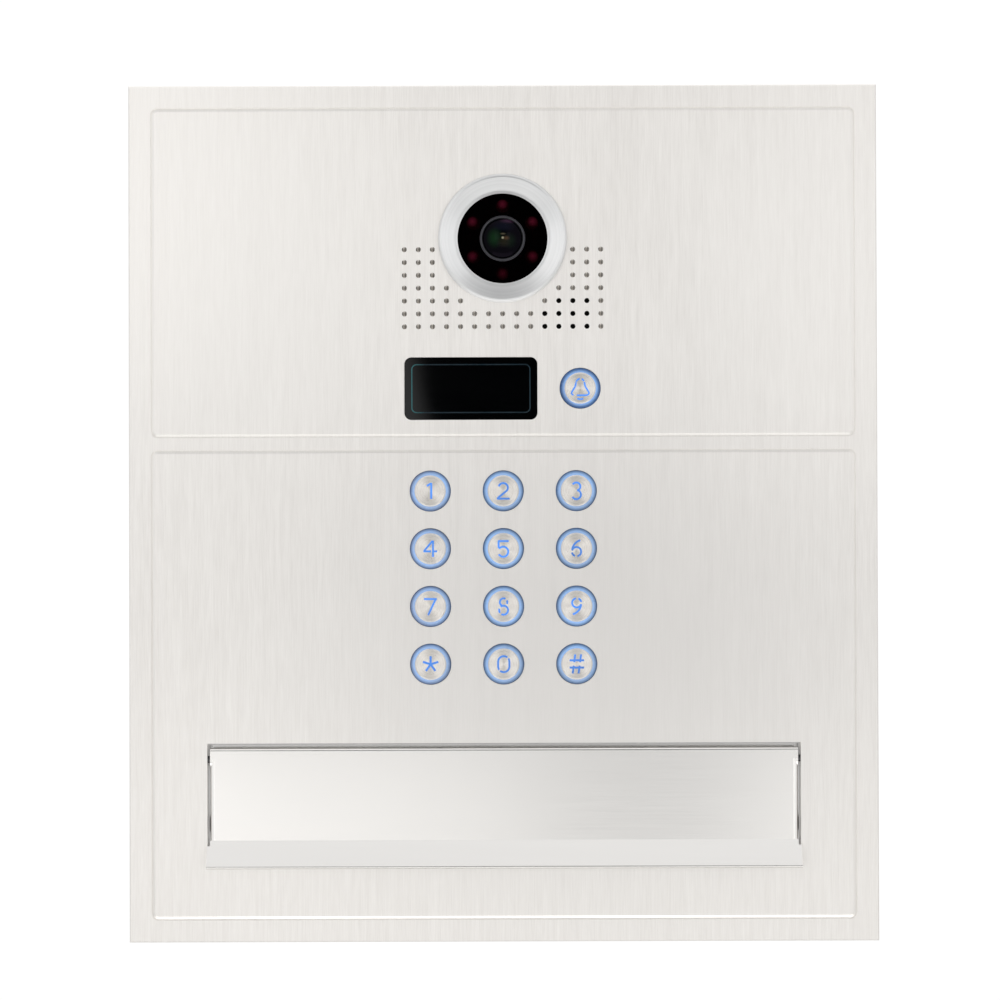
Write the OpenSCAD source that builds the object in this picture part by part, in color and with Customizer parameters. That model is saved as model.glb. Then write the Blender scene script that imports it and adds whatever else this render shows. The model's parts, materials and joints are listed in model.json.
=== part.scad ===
// Door intercom panel: brushed stainless faceplate with a fisheye camera, a
// drilled speaker field, a display and card window, a call button, a lit
// twelve-key pad and a top-hinged letter flap, with the electronics housing
// and the letter chute behind it.
//
// Millimetres. +Z is up, the face looks along -Y. The origin is the centre of
// the four wall studs, on the back plane of the faceplate.
// Modules draw in a face frame (x to the right, y up, z out of the face), and
// stand() turns that frame upright.

/* [Faceplate] */
// Width of the faceplate
plate_w = 320; // [310:1:340]
// Height of the faceplate
plate_h = 366; // [360:1:390]
// Thickness of the faceplate
plate_t = 3; // [2.5:0.1:3.2]
// Distance from the plate edge to the outline grooves
groove_margin = 9.4; // [8:0.1:10]
// Width of an outline groove
groove_w = 1.6; // [1.2:0.1:2]
// Depth of an outline groove
groove_d = 0.55; // [0.3:0.05:0.7]

/* [Camera] */
// Height of the camera's axis above the plate centre
cam_y = 117.4; // [115:0.1:119]
// Outer diameter of the camera bezel
bezel_d = 55.2; // [54:0.1:57]
// Radius of the circle that the infrared lamps stand on
led_ring_r = 14.5; // [14:0.1:15]
// Number of infrared lamps
led_count = 6; // [4:1:6]

/* [Speaker field] */
// Horizontal pitch of the drilled holes
hole_px = 6; // [5.8:0.1:6]
// Vertical pitch of the drilled holes
hole_py = 5.5; // [5.3:0.05:5.5]
// Diameter of a drilled hole
hole_d = 2.2; // [1.8:0.1:2.4]
// Depth of a blind hole, to its cylindrical shoulder
hole_depth = 1.0; // [0.6:0.1:1.4]
// Height of the lowest row of holes
hole_y0 = 79.7; // [79:0.1:80]

/* [Display window] */
// Width of the display window
disp_w = 56.5; // [54:0.1:57]
// Height of the display window
disp_h = 26.4; // [25:0.1:27]

/* [Keypad] */
// Diameter of the lit key top
key_d = 17; // [16:0.1:18]
// Diameter of the metal key cap
cap_d = 13.4; // [12:0.1:14.5]
// Horizontal pitch of the keys
key_px = 31.2; // [31:0.1:32]
// Vertical pitch of the keys
key_py = 24.65; // [24.4:0.05:24.8]
// Height of the top row of keys
key_y0 = 9.4; // [9:0.1:10]
// Stroke width of the cut key legends
legend_s = 0.85; // [0.8:0.05:1.2]

/* [Letter flap] */
// Width of the flap's face
flap_w = 251; // [249:0.1:251.2]
// Width of the flap's pull lip
lip_w = 253.6; // [252:0.1:254]
// Sheet thickness of the flap
flap_t = 1.5; // [1.4:0.1:1.6]
// Diameter of the hinge rod
rod_d = 5; // [4.9:0.05:5]
// Radial running clearance of the flap on its rod
rod_gap = 0.08; // [0.05:0.01:0.1]

/* [Wall fixing] */
// Horizontal spacing of the wall studs
stud_px = 286; // [280:1:290]
// Vertical spacing of the wall studs
stud_py = 330; // [324:1:334]
// Length of the wall studs behind the plate
stud_l = 25; // [20:1:40]

/* [Rear] */
// Depth of the electronics housing
house_z = 40; // [38:1:50]
// Depth of the letter chute
chute_z = 50; // [44:1:80]

/* [Hidden] */
$fn = 64;

// faceplate
pf = plate_t;                       // height of the plate's front face
up_top = plate_h/2 - groove_margin;
up_bot = 32.3;
lo_top = 27.2;
lo_bot = -(plate_h/2 - groove_margin);
gr_w = plate_w - 2*groove_margin;

// camera, all radii
bezel_r = bezel_d/2;
spigot_r = 22.8;
seat_r = 20.6;
window_r = 19.25;
lens_r = 8.45;

// speaker field
spk = [35, 87];
mic = [17.9, 82.4];

// display window
disp = [-13.7, 53.2];

// keypad
call = [33, 53.2];
key_r = key_d/2;
cap_r = cap_d/2;
travel = 1.0;
key_xy = [for (r = [0:3]) for (c = [-1:1]) [c*key_px, key_y0 - r*key_py]];
board_studs = [[42, 20.3], [-42, 20.3], [42, -27.5], [-42, -27.5], [43, -74.5], [-43, -74.5], [42.6, 36]];

// flap
hy = -105.2;                        // hinge axis, height
hz = -0.3;                          // hinge axis, out of the face
rod_r = rod_d/2;
pin_r = 1.5;                        // turned-down ends of the hinge rod
hem_r = 4.1;
fold_h = 4.9;                       // top of the fold above the hinge axis
fold_r = 1.2;
face_z = hz + hem_r;
cut_top = -98.2;
cut_bot = -143;
cut_w = 253.4;
bend_y = -139.5;
lip_a = 32;
lip_l = 12.4;

// chute
ch_w = 252;
ch_top = -98.9;
ch_bot = -143.7;
ch_t = 1.2;
ch_studs = [for (x = [-100, 0, 100]) for (y = [-93.3, -150]) [x, y]];
ch_holes = [for (x = [-110, 110]) for (y = [-93.5, -150]) [x, y]];

// housing
hs_w = 105;
hs_top = 149;
hs_bot = -81;
hs_cy = (hs_top + hs_bot)/2;
hs_h = hs_top - hs_bot;
hs_t = 2.5;
hs_studs = [for (x = [-57.2, 57.2]) for (y = [-60, 30, 130]) [x, y]];
hs_bosses = [for (x = [-46, 46]) for (y = [-74.5, 34, 142.5]) [x, y]];
gland = [0, -30];

// ---------- helpers ----------

module stand() { rotate([90, 0, 0]) children(); }

module rrect(w, h, r) {
  square([w - 2*r, h], center = true);
  square([w, h - 2*r], center = true);
  for (x = [-1, 1]) for (y = [-1, 1]) translate([x*(w/2 - r), y*(h/2 - r)]) circle(r);
}

// block between two corners
module block(a, b) { translate(a) cube(b - a); }

// cylinder between two heights at a point
module rod(p, r, z0, z1) { translate([p[0], p[1], z0]) cylinder(r = r, h = z1 - z0); }

// straight stroke between two points
module stroke(p, q, s = legend_s) {
  d = q - p;
  translate((p + q)/2) rotate(atan2(d[1], d[0])) square([norm(d), s], center = true);
}

// curved stroke: centre, mid radius, from angle a to angle b (b - a at most 360)
module bow(c, r, a, b, s = legend_s) {
  n = ceil((b - a)/60);
  translate(c) intersection() {
    difference() { circle(r + s/2); circle(r - s/2); }
    polygon(concat([[0, 0]], [for (i = [0:n]) let (t = a + (b - a)*i/n) 2*r*[cos(t), sin(t)]]));
  }
}

// ---------- legends, about 5.3 wide and 7.4 high ----------

module legend(k) {
  if (k == "1") { stroke([0.45, -3.4], [0.45, 3.5]); stroke([0.3, 3.15], [-1.4, 2.15]); }
  if (k == "2") { bow([0, 1.35], 1.95, -40, 165); stroke([1.55, 0.15], [-2.35, -3.1]); stroke([-2.75, -3.35], [2.75, -3.35]); }
  if (k == "3") { bow([0, 1.75], 1.7, -80, 150); bow([0, -1.7], 1.95, -150, 80); }
  if (k == "4") { stroke([1.0, 3.4], [-2.6, -0.9]); stroke([-3.0, -1.1], [0.3, -1.1]); stroke([1.15, 3.5], [1.15, -3.5]); stroke([1.15, -1.1], [2.9, -1.1]); }
  if (k == "5") { stroke([-2.2, 3.2], [2.3, 3.2]); stroke([-2.05, 3.4], [-2.05, 0.3]); bow([-0.1, -1.35], 2.15, -150, 145); }
  if (k == "6") { bow([0, -1.4], 1.95, -80, 165); bow([0, -1.4], 1.95, 190, 250); bow([2.9, -1.2], 4.8, 105, 172); }
  if (k == "7") { stroke([-2.75, 3.2], [2.75, 3.2]); stroke([2.3, 3.3], [-1.0, -3.7]); }
  if (k == "8") { bow([0, 1.8], 1.6, 60, 300); bow([0, 1.8], 1.6, -30, 30); bow([0, -1.65], 1.9, -120, 130); bow([0, -1.65], 1.9, 160, 215); }
  if (k == "9") { rotate(180) legend("6"); }
  if (k == "0") {
    difference() {
      union() {
        bow([0, 1.0], 2.4, 0, 180); bow([0, -1.0], 2.4, 180, 360);
        stroke([-2.4, 1.0], [-2.4, -1.0]); stroke([2.4, 1.0], [2.4, -1.0]);
      }
      translate([1.75, 2.65]) rotate(45) square([2.4, 0.6], center = true);
      translate([-1.75, -2.65]) rotate(45) square([2.4, 0.6], center = true);
    }
  }
  if (k == "star") for (a = [90:72:378]) rotate(a) stroke([0, 0], [3.45, 0], 0.95);
  if (k == "hash") {
    for (x = [-1.25, 1.25]) { stroke([x + 0.1, 0.7], [x + 0.55, 4.1], 0.85); stroke([x - 0.55, -4.1], [x - 0.1, -0.7], 0.85); }
    for (y = [-1.55, 1.55]) { stroke([-3.1, y], [3.1, y], 0.9); }
  }
  if (k == "bell") {
    bow([0, 2.2], 1.75, 25, 70, 0.75); bow([0, 2.2], 1.75, 95, 165, 0.75);
    stroke([-1.75, 2.5], [-2.1, 0.7], 0.75); stroke([-2.1, 0.7], [-3.6, -1.7], 0.75);
    stroke([-3.6, -1.7], [-3.75, -2.6], 0.75); stroke([-3.75, -2.6], [-2.9, -3.0], 0.75);
    stroke([1.75, 2.6], [2.1, 0.7], 0.75); stroke([2.1, 0.7], [3.6, -1.7], 0.75);
    stroke([3.6, -1.7], [3.75, -2.6], 0.75); stroke([3.75, -2.6], [2.6, -3.1], 0.75);
    stroke([-1.5, -3.15], [2.6, -3.1], 0.75);
    bow([0, -2.6], 2.2, 235, 305, 0.75);
  }
}

// metal cap with the legend cut through it
module key_cap(c, k) {
  stand() translate([c[0], c[1], 0]) color([0.80, 0.79, 0.77]) difference() {
    rotate_extrude() polygon([[0, 4.2], [cap_r, 4.2], [cap_r, 4.5], [cap_r - 0.5, 5], [0, 5]]);
    translate([0, 0, 4]) linear_extrude(2) legend(k);
  }
}

// translucent key top: collar behind the plate, lit ring, and the raised legend
module key_top(c, k) {
  stand() translate([c[0], c[1], 0]) color([0.45, 0.75, 0.95]) union() {
    rotate_extrude() polygon([[0, -3], [3, -3], [3, -1.6], [key_r + 1.5, -1.6], [key_r + 1.5, -0.4],
      [key_r, -0.4], [key_r, 3.6], [key_r - 0.4, 4], [cap_r, 4], [cap_r - 0.1, 4.2], [0, 4.2]]);
    translate([0, 0, 4.1]) linear_extrude(0.85) legend(k);
  }
}

// ---------- faceplate ----------

module groove_cut(w, h, cy) {
  rg = 3;
  prof = [[0, 0.3], [0, -groove_d], [0.3, -groove_d], [groove_w, 0], [groove_w, 0.3]];
  translate([0, cy, pf]) {
    for (i = [0:3]) rotate(90*i) translate([-(i % 2 == 0 ? w : h)/2, 0, 0])
      rotate([90, 0, 0]) linear_extrude((i % 2 == 0 ? h : w) - 2*rg, center = true) polygon(prof);
    for (i = [0:3]) translate([(i == 1 || i == 2 ? 1 : -1)*(w/2 - rg), (i >= 2 ? 1 : -1)*(h/2 - rg), 0])
      rotate(180 + 90*i) rotate_extrude(angle = 90) polygon([for (p = prof) [rg - p[0], p[1]]]);
  }
}

// a row's open columns, counted from -7 to 7; rows count up from the bottom
function drilled(row, col) = row <= 1 ? true : row == 2 ? abs(col) >= 3 : row == 3 ? abs(col) >= 4 : abs(col) >= 5;
function open_hole(row, col) = row <= 1 ? (col >= 3 && col <= 6) : row == 2 ? (col >= 4 && col <= 6) : false;

module faceplate() {
  stand() color([0.86, 0.85, 0.83]) difference() {
    translate([-plate_w/2, -plate_h/2, 0]) cube([plate_w, plate_h, plate_t]);
    // eased front edges
    for (i = [0:3]) rotate(90*i) translate([(i % 2 == 0 ? plate_w : plate_h)/2, 0, pf])
      rotate([90, 0, 0]) linear_extrude(500, center = true) polygon([[-0.5, 0.2], [-0.5, 0], [0, -0.5], [0.2, -0.5], [0.2, 0.2]]);
    groove_cut(gr_w, up_top - up_bot, (up_top + up_bot)/2);
    groove_cut(gr_w, lo_top - lo_bot, (lo_top + lo_bot)/2);
    // camera
    rod([0, cam_y], spigot_r + 0.4, -1, 5);
    // display window
    translate([disp[0], disp[1], -1]) linear_extrude(6) rrect(disp_w + 0.4, disp_h + 0.4, 3);
    // keys and call button
    for (p = concat(key_xy, [call])) rod(p, key_r + 0.3, -1, 5);
    // speaker field: through holes, and blind holes with a drill point
    for (row = [0:6]) for (col = [-7:7]) if (drilled(row, col)) {
      p = [col*hole_px, hole_y0 + row*hole_py];
      if (open_hole(row, col)) rod(p, hole_d/2, -1, 5);
      else {
        rod(p, hole_d/2, pf - hole_depth, 5);
        translate([p[0], p[1], pf - hole_depth - 0.65]) cylinder(r1 = 0.02, r2 = hole_d/2, h = 0.65);
      }
    }
    // letter opening
    block([-cut_w/2, cut_bot, -1], [cut_w/2, cut_top, 5]);
    // relief behind the plate for the ends of the hinge rod and their clips
    translate([-130.6, hy, hz]) rotate([0, 90, 0]) cylinder(r = pin_r + 0.4, h = 261.2);
    for (s = [-1, 1]) block([s*127.8 - 0.9, hy - 4.1, -1], [s*127.8 + 0.9, hy + 4.1, 1.3]);
  }
}

module perimeter_gasket() {
  stand() color([0.12, 0.12, 0.13]) translate([0, 0, -2]) linear_extrude(2) difference() {
    rrect(plate_w - 6, plate_h - 6, 3);
    rrect(plate_w - 18, plate_h - 18, 2);
  }
}

module welded_studs() {
  stand() color([0.72, 0.72, 0.73]) {
    for (x = [-1, 1]) for (y = [-1, 1]) translate([x*stud_px/2, y*stud_py/2, 0]) rotate([180, 0, 0])
      rotate_extrude() polygon([[0, 0], [2.5, 0], [2.5, stud_l - 0.8], [1.8, stud_l], [0, stud_l]]);
    for (p = hs_studs) rod(p, 2, -9, 0);
    for (p = ch_studs) rod(p, 2, -8, 0);
    for (p = board_studs) rod(p, 1.5, -12, 0);
  }
}

module hex_nut(p, z0, z1, r_in) {
  difference() {
    translate([p[0], p[1], z0]) cylinder(r = 4.04, h = z1 - z0, $fn = 6);
    rod(p, r_in, z0 - 1, z1 + 1);
  }
}

module stud_nuts() {
  stand() color([0.75, 0.75, 0.76]) {
    for (p = hs_studs) hex_nut(p, -5.7, -2.5, 2);
    for (p = ch_studs) hex_nut(p, -4.4, -1.2, 2);
  }
}

// ---------- camera ----------

module camera_bezel() {
  stand() color([0.75, 0.76, 0.77]) translate([0, cam_y, 0]) rotate_extrude($fn = 96)
    polygon(concat([[seat_r, -8], [spigot_r, -8], [spigot_r, pf], [bezel_r, pf]],
      [for (a = [0:15:90]) [bezel_r - 1.6 + 1.6*cos(a), pf + 1 + 1.6*sin(a)]],
      [[seat_r - 0.1, pf + 0.9], [seat_r - 0.1, pf + 0.4], [window_r, pf + 0.4], [window_r, 2.45], [seat_r, 2.45]]));
}

module camera_cover() {
  stand() color([0.03, 0.03, 0.04]) translate([0, cam_y, 0.4]) linear_extrude(2)
    difference() { circle(seat_r - 0.1, $fn = 96); circle(9.8); }
}

module lens_ring() {
  stand() color([0.45, 0.46, 0.48]) translate([0, cam_y, 0]) rotate_extrude()
    polygon([[lens_r + 0.05, -0.6], [9.75, -0.6], [9.75, 2.9], [9.4, 3.25], [8.9, 3.25], [lens_r + 0.05, 2.8]]);
}

module lens_barrel() {
  stand() color([0.05, 0.05, 0.06]) translate([0, cam_y, 0]) rotate_extrude()
    polygon([[6.2, -8], [11, -8], [11, -6.5], [lens_r, -6.5], [lens_r, 1.2], [7.6, 1.2], [7.6, 0.2], [6.6, 0.2], [6.6, -1],
      [5.4, -1], [5.4, -2.4], [4.2, -2.4], [4.2, -4], [3, -4], [3, -5.4], [6.2, -5.4]]);
}

module lens_glass() {
  rs = 13.26;
  stand() color([0.35, 0.45, 0.45]) translate([0, cam_y, 0]) intersection() {
    translate([0, 0, 5.6 - rs]) sphere(r = rs);
    translate([0, 0, 1.2]) cylinder(r = lens_r - 0.05, h = 8);
  }
}

module infrared_leds() {
  stand() color([0.35, 0.05, 0.06]) translate([0, cam_y, 0])
    for (i = [0:led_count - 1]) rotate(30 + i*360/led_count) translate([led_ring_r, 0, 0]) {
      translate([0, 0, -5.5]) cylinder(r = 2.9, h = 0.8);
      translate([0, 0, -4.7]) cylinder(r = 2.5, h = 2.3);
      intersection() { translate([0, 0, -2.4]) sphere(r = 2.5); translate([0, 0, -2.4]) cylinder(r = 2.5, h = 3); }
      for (y = [-1.27, 1.27]) translate([0, y, -8]) cylinder(r = 0.25, h = 2.5);
    }
}

module camera_board() {
  stand() color([0.10, 0.35, 0.18]) translate([0, cam_y, 0]) {
    translate([0, 0, -9.6]) cylinder(r = 20.2, h = 1.6);
    block([-4, -4, -8], [4, 4, -7]);
    block([-6, -15, -13], [6, -10, -9.6]);
  }
}

module camera_housing() {
  stand() color([0.10, 0.10, 0.11]) translate([0, cam_y, 0]) difference() {
    translate([0, 0, -30]) cylinder(r = spigot_r, h = 22, $fn = 96);
    translate([0, 0, -28]) cylinder(r = 20.4, h = 30, $fn = 96);
    translate([0, -12, -32]) cylinder(r = 4, h = 6);
  }
}

module camera_retaining_nut() {
  stand() color([0.70, 0.70, 0.72]) translate([0, cam_y, -4]) linear_extrude(4) difference() {
    circle(27);
    circle(spigot_r + 0.02, $fn = 96);
    for (a = [0:60:300]) rotate(a) translate([27, 0]) square([3, 4], center = true);
  }
}

// ---------- sound ----------

module acoustic_mesh() {
  stand() color([0.04, 0.04, 0.04]) block([15, 76.5, -0.4], [40, 93.8, 0]);
}

module speaker_frame() {
  stand() color([0.35, 0.36, 0.38]) translate([spk[0], spk[1], 0]) rotate_extrude()
    polygon([[0, -11], [8.6, -11], [8.6, -6.6], [13.1, -3], [13.5, -2.4], [13.5, -0.4], [12, -0.4], [12, -2.2], [7.6, -6], [0, -6.2]]);
}

module speaker_cone() {
  stand() color([0.10, 0.10, 0.10]) translate([spk[0], spk[1], 0]) rotate_extrude()
    polygon([[0, -3.4], [2.5, -3.8], [4, -4.5], [7.3, -4.1], [10.6, -1.6], [11.3, -1.1], [11.9, -1.1], [11.9, -1.6], [11, -1.9], [7.6, -4.7], [4, -5], [0, -5]]);
}

module microphone() {
  stand() color([0.06, 0.06, 0.06]) difference() {
    rod(mic, 3.9, -5.4, -0.4);
    rod(mic, 2.6, -1.2, 1);
  }
}

// ---------- display window ----------

module display_glass() {
  stand() color([0.02, 0.02, 0.03]) translate([disp[0], disp[1], 0]) difference() {
    translate([0, 0, pf - 2]) linear_extrude(1.9) rrect(disp_w, disp_h, 2.8);
    translate([0, 0, pf - 0.4]) linear_extrude(1) difference() { rrect(51, 21, 2.3); rrect(50, 20, 1.8); }
  }
}

module display_outline() {
  stand() color([0.15, 0.75, 0.75]) translate([disp[0], disp[1], pf - 0.4]) linear_extrude(0.3)
    difference() { rrect(51, 21, 2.3); rrect(50, 20, 1.8); }
}

module display_module() {
  stand() color([0.12, 0.12, 0.13]) translate([disp[0], disp[1], 0]) {
    block([-31, -15.7, -6], [31, 15.7, 0]);
    block([-27, -12, 0], [27, 12, pf - 2]);
    block([-20, -9, -9], [20, 9, -6]);
  }
}

// ---------- keypad electronics ----------

module keypad_outline() {
  polygon([[-46, -77.5], [46, -77.5], [46, 66], [20, 66], [20, 24], [-46, 24]]);
}

module keypad_mat() {
  stand() color([0.75, 0.76, 0.78]) difference() {
    union() {
      translate([0, 0, -6]) linear_extrude(1) keypad_outline();
      for (p = board_studs) rod(p, 2.8, -5, 0);
      for (p = concat(key_xy, [call])) translate([p[0], p[1], -5]) cylinder(r1 = 4.6, r2 = 3.6, h = 0.7);
    }
    for (p = board_studs) rod(p, 1.7, -7, 1);
  }
}

module keypad_board() {
  stand() color([0.10, 0.35, 0.18]) difference() {
    translate([0, 0, -7.6]) linear_extrude(1.6) keypad_outline();
    for (p = board_studs) rod(p, 1.6, -9, 1);
  }
}

module board_standoffs() {
  stand() color([0.80, 0.70, 0.40]) for (p = board_studs) difference() {
    translate([p[0], p[1], -16]) cylinder(r = 2.9, h = 8.4, $fn = 6);
    rod(p, 1.5, -12, -7);
  }
}

module main_board() {
  stand() color([0.08, 0.30, 0.16]) {
    block([-46, -77.5, -17.6], [46, 24, -16]);
    block([12, -73, -30.6], [28, -52, -17.6]);
    block([-12, -14, -19.4], [8, 6, -17.6]);
    block([-36, -40, -20.4], [-22, -26, -17.6]);
    rod([30, -20], 5, -29, -17.6);
    rod([30, -6], 5, -29, -17.6);
    block([-30, 8, -22.6], [-4, 18, -17.6]);
  }
}

module terminal_block() {
  stand() color([0.15, 0.50, 0.25]) difference() {
    block([-40, -74, -28], [2, -63, -17.6]);
    for (i = [0:7]) {
      rod([-37.4 + i*5.08, -67], 1.7, -29, -25.5);
      translate([-37.4 + i*5.08 - 1.4, -75, -23.5]) cube([2.8, 5, 3]);
    }
  }
}

// ---------- housing ----------

module electronics_housing() {
  stand() color([0.16, 0.16, 0.17]) difference() {
    union() {
      translate([0, hs_cy, -house_z]) linear_extrude(house_z) rrect(hs_w, hs_h, 5);
      translate([0, (155 - 87)/2, -2.5]) linear_extrude(2.5) rrect(122, 242, 6);
    }
    difference() {
      translate([0, hs_cy, -house_z - 1]) linear_extrude(house_z + 2) rrect(hs_w - 2*hs_t, hs_h - 2*hs_t, 2.5);
      for (p = hs_bosses) rod(p, 4, -house_z, -26);
      for (p = hs_bosses) block([p[0] > 0 ? p[0] : -51, p[1] - 1, -house_z], [p[0] > 0 ? 51 : p[0], p[1] + 1, -26]);
    }
    for (p = hs_bosses) rod(p, 1.25, -house_z - 1, -30);
    for (p = hs_studs) rod(p, 2.15, -4, 1);
    // sealing bead groove in the rear rim
    translate([0, hs_cy, -house_z - 1]) linear_extrude(1.6) difference() {
      rrect(hs_w - 1.9, hs_h - 1.9, 4.05);
      rrect(hs_w - 3.5, hs_h - 3.5, 3.25);
    }
  }
}

module rear_cover() {
  stand() color([0.18, 0.18, 0.19]) difference() {
    union() {
      translate([0, hs_cy, -house_z - 2.5]) linear_extrude(2.5) rrect(hs_w, hs_h, 5);
      for (y = [0:1:3]) block([-30, 60 + 10*y, -house_z - 3.3], [30, 62 + 10*y, -house_z - 2.5]);
    }
    for (p = hs_bosses) rod(p, 1.6, -house_z - 4, -house_z + 1);
    rod(gland, 8.1, -house_z - 5, -house_z + 1);
  }
}

module cover_screws() {
  stand() color([0.75, 0.75, 0.76]) translate([0, 0, -house_z - 2.5]) for (p = hs_bosses) translate([p[0], p[1], 0]) difference() {
    rotate([180, 0, 0]) rotate_extrude() polygon([[0, -11], [1.25, -11], [1.25, 0], [2.8, 0], [2.8, 1], [2.2, 1.8], [0, 1.8]]);
    translate([0, 0, -2.4]) linear_extrude(1.5) { square([3, 0.7], center = true); square([0.7, 3], center = true); }
  }
}

module cable_gland() {
  stand() color([0.13, 0.13, 0.14]) translate([gland[0], gland[1], -house_z - 2.5]) difference() {
    union() {
      cylinder(r = 8, h = 8.5);
      translate([0, 0, 2.5]) cylinder(r = 11, h = 4, $fn = 6);
      translate([0, 0, -4]) cylinder(r = 11.2, h = 4, $fn = 6);
      translate([0, 0, -11]) cylinder(r1 = 8.6, r2 = 9.6, h = 7);
      translate([0, 0, -14]) cylinder(r1 = 6.8, r2 = 8.6, h = 3);
    }
    translate([0, 0, -15]) cylinder(r = 4, h = 30);
  }
}

// ---------- letter slot ----------

module letter_chute() {
  x1 = ch_w/2;
  x2 = ch_w/2 + ch_t;
  stand() color([0.70, 0.70, 0.71]) difference() {
    union() {
      block([-x2, ch_top, -chute_z], [x2, ch_top + ch_t, 0]);
      block([-x2, ch_bot - ch_t, -chute_z], [x2, ch_bot, 0]);
      for (s = [-1, 1]) block([s > 0 ? x1 : -x2, ch_bot - ch_t, -chute_z], [s > 0 ? x2 : -x1, ch_top + ch_t, 0]);
      // front and rear flanges
      for (z = [-ch_t, -chute_z]) {
        block([-x2, ch_top, z], [x2, ch_top + 10.1, z + ch_t]);
        block([-x2, ch_bot - 11.2, z], [x2, ch_bot, z + ch_t]);
      }
    }
    for (p = ch_studs) rod(p, 2.15, -ch_t - 1, 1);
    for (p = ch_holes) rod(p, 2.25, -chute_z - 1, -chute_z + 3);
    // rod holes in the side walls
    translate([-140, hy, hz]) rotate([0, 90, 0]) cylinder(r = pin_r + 0.03, h = 280);
    // the front flange keeps clear of the wall's inside
    block([-x1, ch_bot, -chute_z - 1], [x1, ch_top, 1]);
  }
}

module hinge_rod() {
  stand() color([0.60, 0.60, 0.61]) translate([0, hy, hz]) rotate([0, 90, 0]) rotate_extrude()
    polygon([[0, -130], [pin_r - 0.4, -130], [pin_r, -129.6], [pin_r, -125.6], [rod_r - 0.3, -125.6], [rod_r, -125.3],
      [rod_r, 125.3], [rod_r - 0.3, 125.6], [pin_r, 125.6], [pin_r, 129.6], [pin_r - 0.4, 130], [0, 130]]);
}

module hinge_clips() {
  stand() color([0.30, 0.30, 0.31]) for (s = [-1, 1]) translate([s*127.8, hy, hz]) rotate([0, 90, 0]) linear_extrude(0.8, center = true)
    difference() {
      circle(3.6);
      circle(pin_r + 0.02);
      // open side, towards the face
      translate([-5, -5]) square([5, 10] - [1.2, 0]);
      translate([-2, 0]) square([4, 2.1], center = true);
    }
}

module flap_bumpers() {
  stand() color([0.08, 0.08, 0.08]) for (s = [-1, 1]) {
    translate([s*122.5, -133, -3.4]) linear_extrude(3.1) rrect(4, 8, 1.2);
    // foot, against the chute's side wall
    block([s > 0 ? 120.8 : -125.95, -136, -8], [s > 0 ? 125.95 : -120.8, -130, -3.2]);
  }
}

module letter_flap() {
  sa = sin(lip_a);
  ca = cos(lip_a);
  ly = bend_y - ca*lip_l;
  lz = face_z + sa*lip_l;
  iy = bend_y - flap_t*tan(lip_a/2);
  stand() color([0.90, 0.89, 0.87]) difference() {
    union() {
      // rolled hem round the rod
      translate([-flap_w/2, hy, hz]) rotate([0, 90, 0]) cylinder(r = hem_r, h = flap_w);
      // top fold, squared off in line with the face
      translate([-flap_w/2, hy, hz]) rotate([90, 0, 90]) linear_extrude(flap_w) {
        square([fold_h - fold_r, hem_r]);
        square([fold_h, hem_r - fold_r]);
        translate([fold_h - fold_r, hem_r - fold_r]) circle(fold_r);
      }
      // face with its bent-back sides
      translate([0, hy, 0]) rotate([90, 0, 0]) linear_extrude(hy - bend_y) intersection() {
        difference() {
          translate([0, face_z - 10]) rrect(flap_w, 20, 2);
          translate([0, face_z - flap_t - 10]) rrect(flap_w - 2*flap_t, 20, 0.5);
        }
        translate([-200, 0]) square([400, 20]);
      }
      // flared pull lip with a rounded edge
      difference() {
        union() {
          translate([-lip_w/2, 0, 0]) rotate([90, 0, 90]) linear_extrude(lip_w)
            polygon([[bend_y, face_z], [bend_y, face_z - flap_t], [iy, face_z - flap_t], [ly - sa*flap_t, lz - ca*flap_t], [ly, lz]]);
          translate([-lip_w/2, ly - sa*flap_t/2, lz - ca*flap_t/2]) rotate([0, 90, 0]) cylinder(r = flap_t/2, h = lip_w);
        }
        for (s = [-1, 1]) block([s > 0 ? flap_w/2 : -200, -141.8, -5], [s > 0 ? 200 : -flap_w/2, -130, 20]);
      }
    }
    translate([-150, hy, hz]) rotate([0, 90, 0]) cylinder(r = rod_r + rod_gap, h = 300);
  }
}

// ---------- nodes ----------

module key_1_cap() { key_cap(key_xy[0], "1"); }
module key_1_top() { key_top(key_xy[0], "1"); }
module key_2_cap() { key_cap(key_xy[1], "2"); }
module key_2_top() { key_top(key_xy[1], "2"); }
module key_3_cap() { key_cap(key_xy[2], "3"); }
module key_3_top() { key_top(key_xy[2], "3"); }
module key_4_cap() { key_cap(key_xy[3], "4"); }
module key_4_top() { key_top(key_xy[3], "4"); }
module key_5_cap() { key_cap(key_xy[4], "5"); }
module key_5_top() { key_top(key_xy[4], "5"); }
module key_6_cap() { key_cap(key_xy[5], "6"); }
module key_6_top() { key_top(key_xy[5], "6"); }
module key_7_cap() { key_cap(key_xy[6], "7"); }
module key_7_top() { key_top(key_xy[6], "7"); }
module key_8_cap() { key_cap(key_xy[7], "8"); }
module key_8_top() { key_top(key_xy[7], "8"); }
module key_9_cap() { key_cap(key_xy[8], "9"); }
module key_9_top() { key_top(key_xy[8], "9"); }
module key_star_cap() { key_cap(key_xy[9], "star"); }
module key_star_top() { key_top(key_xy[9], "star"); }
module key_0_cap() { key_cap(key_xy[10], "0"); }
module key_0_top() { key_top(key_xy[10], "0"); }
module key_hash_cap() { key_cap(key_xy[11], "hash"); }
module key_hash_top() { key_top(key_xy[11], "hash"); }
module call_button_cap() { key_cap(call, "bell"); }
module call_button_top() { key_top(call, "bell"); }

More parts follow.
